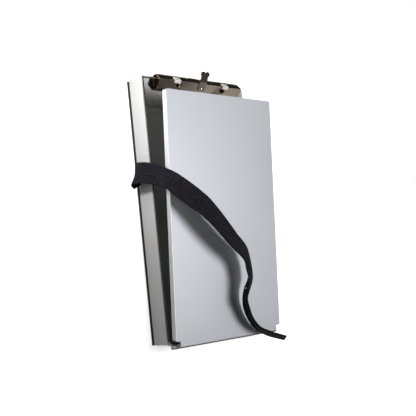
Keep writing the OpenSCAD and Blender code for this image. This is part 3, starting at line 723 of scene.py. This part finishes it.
def band_outline(half_thickness, columns, inset=0.0):
    """The outline of a strip across its width: (share across, lift, rib share) round both faces."""
    rounding = min(half_thickness, EDGE_ROUNDING)
    low = (inset + rounding) / STRAP_WIDTH
    high = 1 - low
    top = [(low + (high - low) * k / columns, half_thickness, 1.0 if 0 < k < columns else 0.0)
           for k in range(columns + 1)]
    edge = [(high + rounding / STRAP_WIDTH * math.sin(turn), half_thickness * math.cos(turn), 0.0)
            for turn in (math.pi * k / EDGE_STEPS for k in range(1, EDGE_STEPS))]
    under = [(share, -lift, rib) for share, lift, rib in reversed(top)]
    back = [(1 - share, -lift, rib) for share, lift, rib in edge]
    return top + edge + under + back


def swept(name, band, start, stop, step, outline, rib_height=0.0, shift=0.0):
    """A closed strip along the band, with ribs across it and a UV map in widths."""
    lengths = np.linspace(start, stop, max(2, int((stop - start) / step)) + 1)
    points, uvs = [], []
    for length in lengths:
        rib = rib_height * (0.5 - 0.5 * math.cos(2 * math.pi * length / RIB_PITCH))
        for share, lift, ribbed in outline:
            points.append(band.at(length, share, lift + shift + math.copysign(rib * ribbed, lift)))
            uvs.append((share, length / STRAP_WIDTH))
    around = len(outline)
    faces = []
    for ring in range(len(lengths) - 1):
        for k in range(around):
            a, b = ring * around + k, ring * around + (k + 1) % around
            faces.append((a, a + around, b + around, b))
    faces.append(tuple(range(around)))
    last = (len(lengths) - 1) * around
    faces.append(tuple(last + k for k in reversed(range(around))))
    mesh = mesh_of(name, points, faces)
    layer = mesh.uv_layers.new(name="weave")
    for loop in mesh.loops:
        layer.data[loop.index].uv = uvs[loop.vertex_index]
    work = bmesh.new()
    work.from_mesh(mesh)
    bmesh.ops.recalc_face_normals(work, faces=work.faces)
    work.to_mesh(mesh)
    work.free()
    return mesh


def strap_webbing(band):
    outline = band_outline(STRAP_THICKNESS / 2, WEB_COLUMNS)
    mesh = swept("webbing", band, 0, band.length, RIB_PITCH / 4, outline, rib_height=RIB_HEIGHT)
    webbing = new_piece("strap_webbing_woven", mesh, WEBBING, "tray")
    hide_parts("strap_webbing")
    return webbing


def hook_patch(band):
    """The tape that carries the hooks, on the webbing's back."""
    outline = band_outline(PATCH_THICKNESS / 2, PATCH_COLUMNS, PATCH_INSET)
    mesh = swept("hook tape", band, band.from_point(PATCH_FROM), band.length - PATCH_TO_END, PATCH_STEP,
                 outline, shift=-(STRAP_THICKNESS + PATCH_THICKNESS) / 2)
    patch = new_piece("strap_hook_patch_tape", mesh, HOOK_TAPE, "tray")
    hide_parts("strap_hook_patch")
    return patch


def hooks(band):
    """Fine hooks over the tape's outer face."""
    begin, end = band.from_point(PATCH_FROM) + HOOKS_INSET, band.length - HOOKS_TO_END
    low = (PATCH_INSET + HOOKS_INSET) / STRAP_WIDTH
    lengths = np.linspace(begin, end, TAPE_FACE_STEPS)
    points = [band.at(length, share, TAPE_FACE) for length in lengths for share in (low, 1 - low)]
    faces = [(2 * k, 2 * k + 1, 2 * k + 3, 2 * k + 2) for k in range(len(lengths) - 1)]
    ground = mesh_of("tape face", points, faces)
    if ground.polygons[0].normal.dot(Vector(band.up[-1])) > 0:
        ground.flip_normals()
    area = sum(face.area for face in ground.polygons)
    hook = wire_along("hook", [Vector(point) * MM for point in HOOK_BEND], HOOK_WIRE_RADIUS, HOOK_TAPE)
    pattern = bpy.data.objects.new("one hook", hook)
    mesh = grown("hooks", ground, HOOK_TREE,
                 {"Density": HOOK_COUNT / area, "Hook": pattern, "Material": HOOK_TAPE})
    bpy.data.objects.remove(pattern)
    return new_piece("strap_hook_field", mesh, HOOK_TAPE, "tray", smooth=False)


def seam_path(band, lift):
    """The line of the stitches, just inside the hook patch's edge."""
    begin, end = band.from_point(PATCH_FROM) + SEAM_FROM_START, band.length - SEAM_TO_END
    inset = (PATCH_INSET + SEAM_INSET) / STRAP_WIDTH
    corners = [(begin, inset), (end, inset), (end, 1 - inset), (begin, 1 - inset), (begin, inset)]
    path = []
    for (length, share), (next_length, next_share) in zip(corners, corners[1:]):
        steps = max(2, int(abs(next_length - length) / SEAM_STEP))
        path += [band.at(length + (next_length - length) * k / steps,
                         share + (next_share - share) * k / steps, lift) for k in range(steps)]
    return path + path[:1]


def seam(band, name, lift):
    """Stitches round the hook patch, on one face of the strap."""
    mesh = grown("stitches", line_mesh("stitch line", seam_path(band, lift)), STITCH_TREE,
                 {"Pitch": STITCH_PITCH, "Half Length": STITCH_LENGTH / 2, "Radius": THREAD_RADIUS,
                  "Material": THREAD})
    return new_piece(name, mesh, THREAD, "tray")


def bar_tack(band):
    """A light zigzag of thread over the hook patch's edge."""
    middle = band.from_point(PATCH_FROM) + TACK_AT
    path = [band.at(middle + TACK_LENGTH * (k % 2 - 0.5), TACK_START + TACK_REACH * k / TACK_TURNS, TAPE_FACE)
            for k in range(TACK_TURNS + 1)]
    mesh = wire_along("tack", path, TACK_RADIUS, LIGHT_THREAD)
    return new_piece("strap_bar_tack", mesh, LIGHT_THREAD, "tray")


def strap():
    band = Band()
    webbing = strap_webbing(band)
    patch = hook_patch(band)
    field = hooks(band)
    front = seam(band, "strap_stitches_front", FRONT_SEAM_LIFT)
    back = seam(band, "strap_stitches_back", TAPE_FACE)
    bar_tack(band)


strap()


# ---- Studio ----

def camera():
    data = bpy.data.cameras.new("camera")
    data.lens = CAMERA_LENS
    data.sensor_width = CAMERA_FILM
    data.clip_start, data.clip_end = CAMERA_REACH
    taker = set_out("camera", data)
    back = CAMERA_BACK.normalized()
    right = CAMERA_UP.cross(back).normalized()
    axes = Matrix((right, back.cross(right), back)).transposed().to_4x4()
    taker.matrix_world = Matrix.Translation(CAMERA_PLACE) @ axes
    bpy.context.scene.camera = taker


def lamp(name, place, aim, size, power):
    data = bpy.data.lights.new(name, "AREA")
    data.shape = "DISK"
    data.size = size
    data.energy = power
    holder = set_out(name, data)
    holder.location = place
    holder.visible_camera = False
    holder.rotation_euler = (Vector(aim) - Vector(place)).to_track_quat("-Z", "Y").to_euler()


def floor():
    """Pale paper. The camera sees it lighter than the case and its metal do, and painted dark under the case
    as shade.
    """
    mesh = mesh_of("floor", [(FLOOR_REACH * x, FLOOR_REACH * y, FLOOR_HEIGHT) for x, y in
                             ((-1, -1), (1, -1), (1, 1), (-1, 1))], [(0, 1, 2, 3)])
    ground = set_out("floor", mesh)
    paper = Finish("floor paper", roughness=0.9, specular_ior_level=0.0, emission_color=(1, 1, 1, 1))
    seen = paper.node("ShaderNodeLightPath", output="Is Camera Ray")
    mirrored = paper.node("ShaderNodeLightPath", output="Is Glossy Ray")
    beyond_side = paper.axis(paper.spot(), 0).size() - CASE_HALF.x
    beyond_end = paper.axis(paper.spot(), 1).size() - CASE_HALF.y
    outside_painted_shade = beyond_side.maths("MAXIMUM", beyond_side, beyond_end).between(*CASE_PAINTED_SHADE_EDGE)
    shown = seen * outside_painted_shade + mirrored * FLOOR_IN_METAL
    lit = paper.blend(shown, (FLOOR_TONE,) * 3, (FLOOR_SHOWN,) * 3)
    # paints shade: the camera sees the floor dark under the case
    paper.feed("Base Color", paper.blend(seen - seen * outside_painted_shade, lit, (FLOOR_PAINTED_SHADE,) * 3))
    paper.feed("Emission Strength", seen * outside_painted_shade * FLOOR_GLOW + mirrored * METAL_GLOW)
    mesh.materials.append(paper.material)


def studio_card(name, near, far, tone, glow):
    """A card that only the polished metal mirrors, from its near low corner to its far high one."""
    mesh = mesh_of(name, [near, (far[0], near[1], near[2]), far, (near[0], far[1], far[2])], [(0, 1, 2, 3)])
    card = set_out(name, mesh)
    mesh.materials.append(Finish(name, base_color=(tone, tone, tone, 1), roughness=0.9,
                                 emission_color=(1, 1, 1, 1), emission_strength=glow).material)
    card.visible_camera = card.visible_diffuse = card.visible_shadow = False


def world():
    """Dim studio walls that grow lighter upwards, behind a white backdrop that only the camera sees."""
    studio = bpy.data.worlds.new("studio")
    bpy.context.scene.world = studio
    studio.use_nodes = True
    sky = Board(studio.node_tree)
    sky.tree.nodes.remove(sky.tree.nodes["Background"])
    height = sky.axis(sky.node("ShaderNodeTexCoord", output="Generated"), 2)
    rise = sky.node("ShaderNodeMapRange", {}, {"Value": height, "From Min": -1})
    stops = [(place, (tone,) * 3) for place, tone in ROOM_TONES]
    walls = sky.node("ShaderNodeValToRGB", {"stops": stops}, {0: rise})
    room = sky.node("ShaderNodeBackground", {}, {"Color": walls})
    backdrop = sky.node("ShaderNodeBackground", {}, {"Color": (1, 1, 1, 1)})
    seen = sky.node("ShaderNodeLightPath", output="Is Camera Ray")
    both = sky.node("ShaderNodeMixShader", {}, {0: seen, 1: room, 2: backdrop})
    sky.tree.links.new(both.socket, sky.tree.nodes["World Output"].inputs["Surface"])


camera()
floor()
world()
lamp("overhead", KEY_PLACE, (KEY_PLACE.x, KEY_PLACE.y, 0), KEY_SIZE, KEY_POWER)
for name, card in CARDS.items():
    studio_card(name, *card)
for name, light in LAMPS.items():
    lamp(name, *light)
bpy.context.scene.view_settings.view_transform = "Standard"
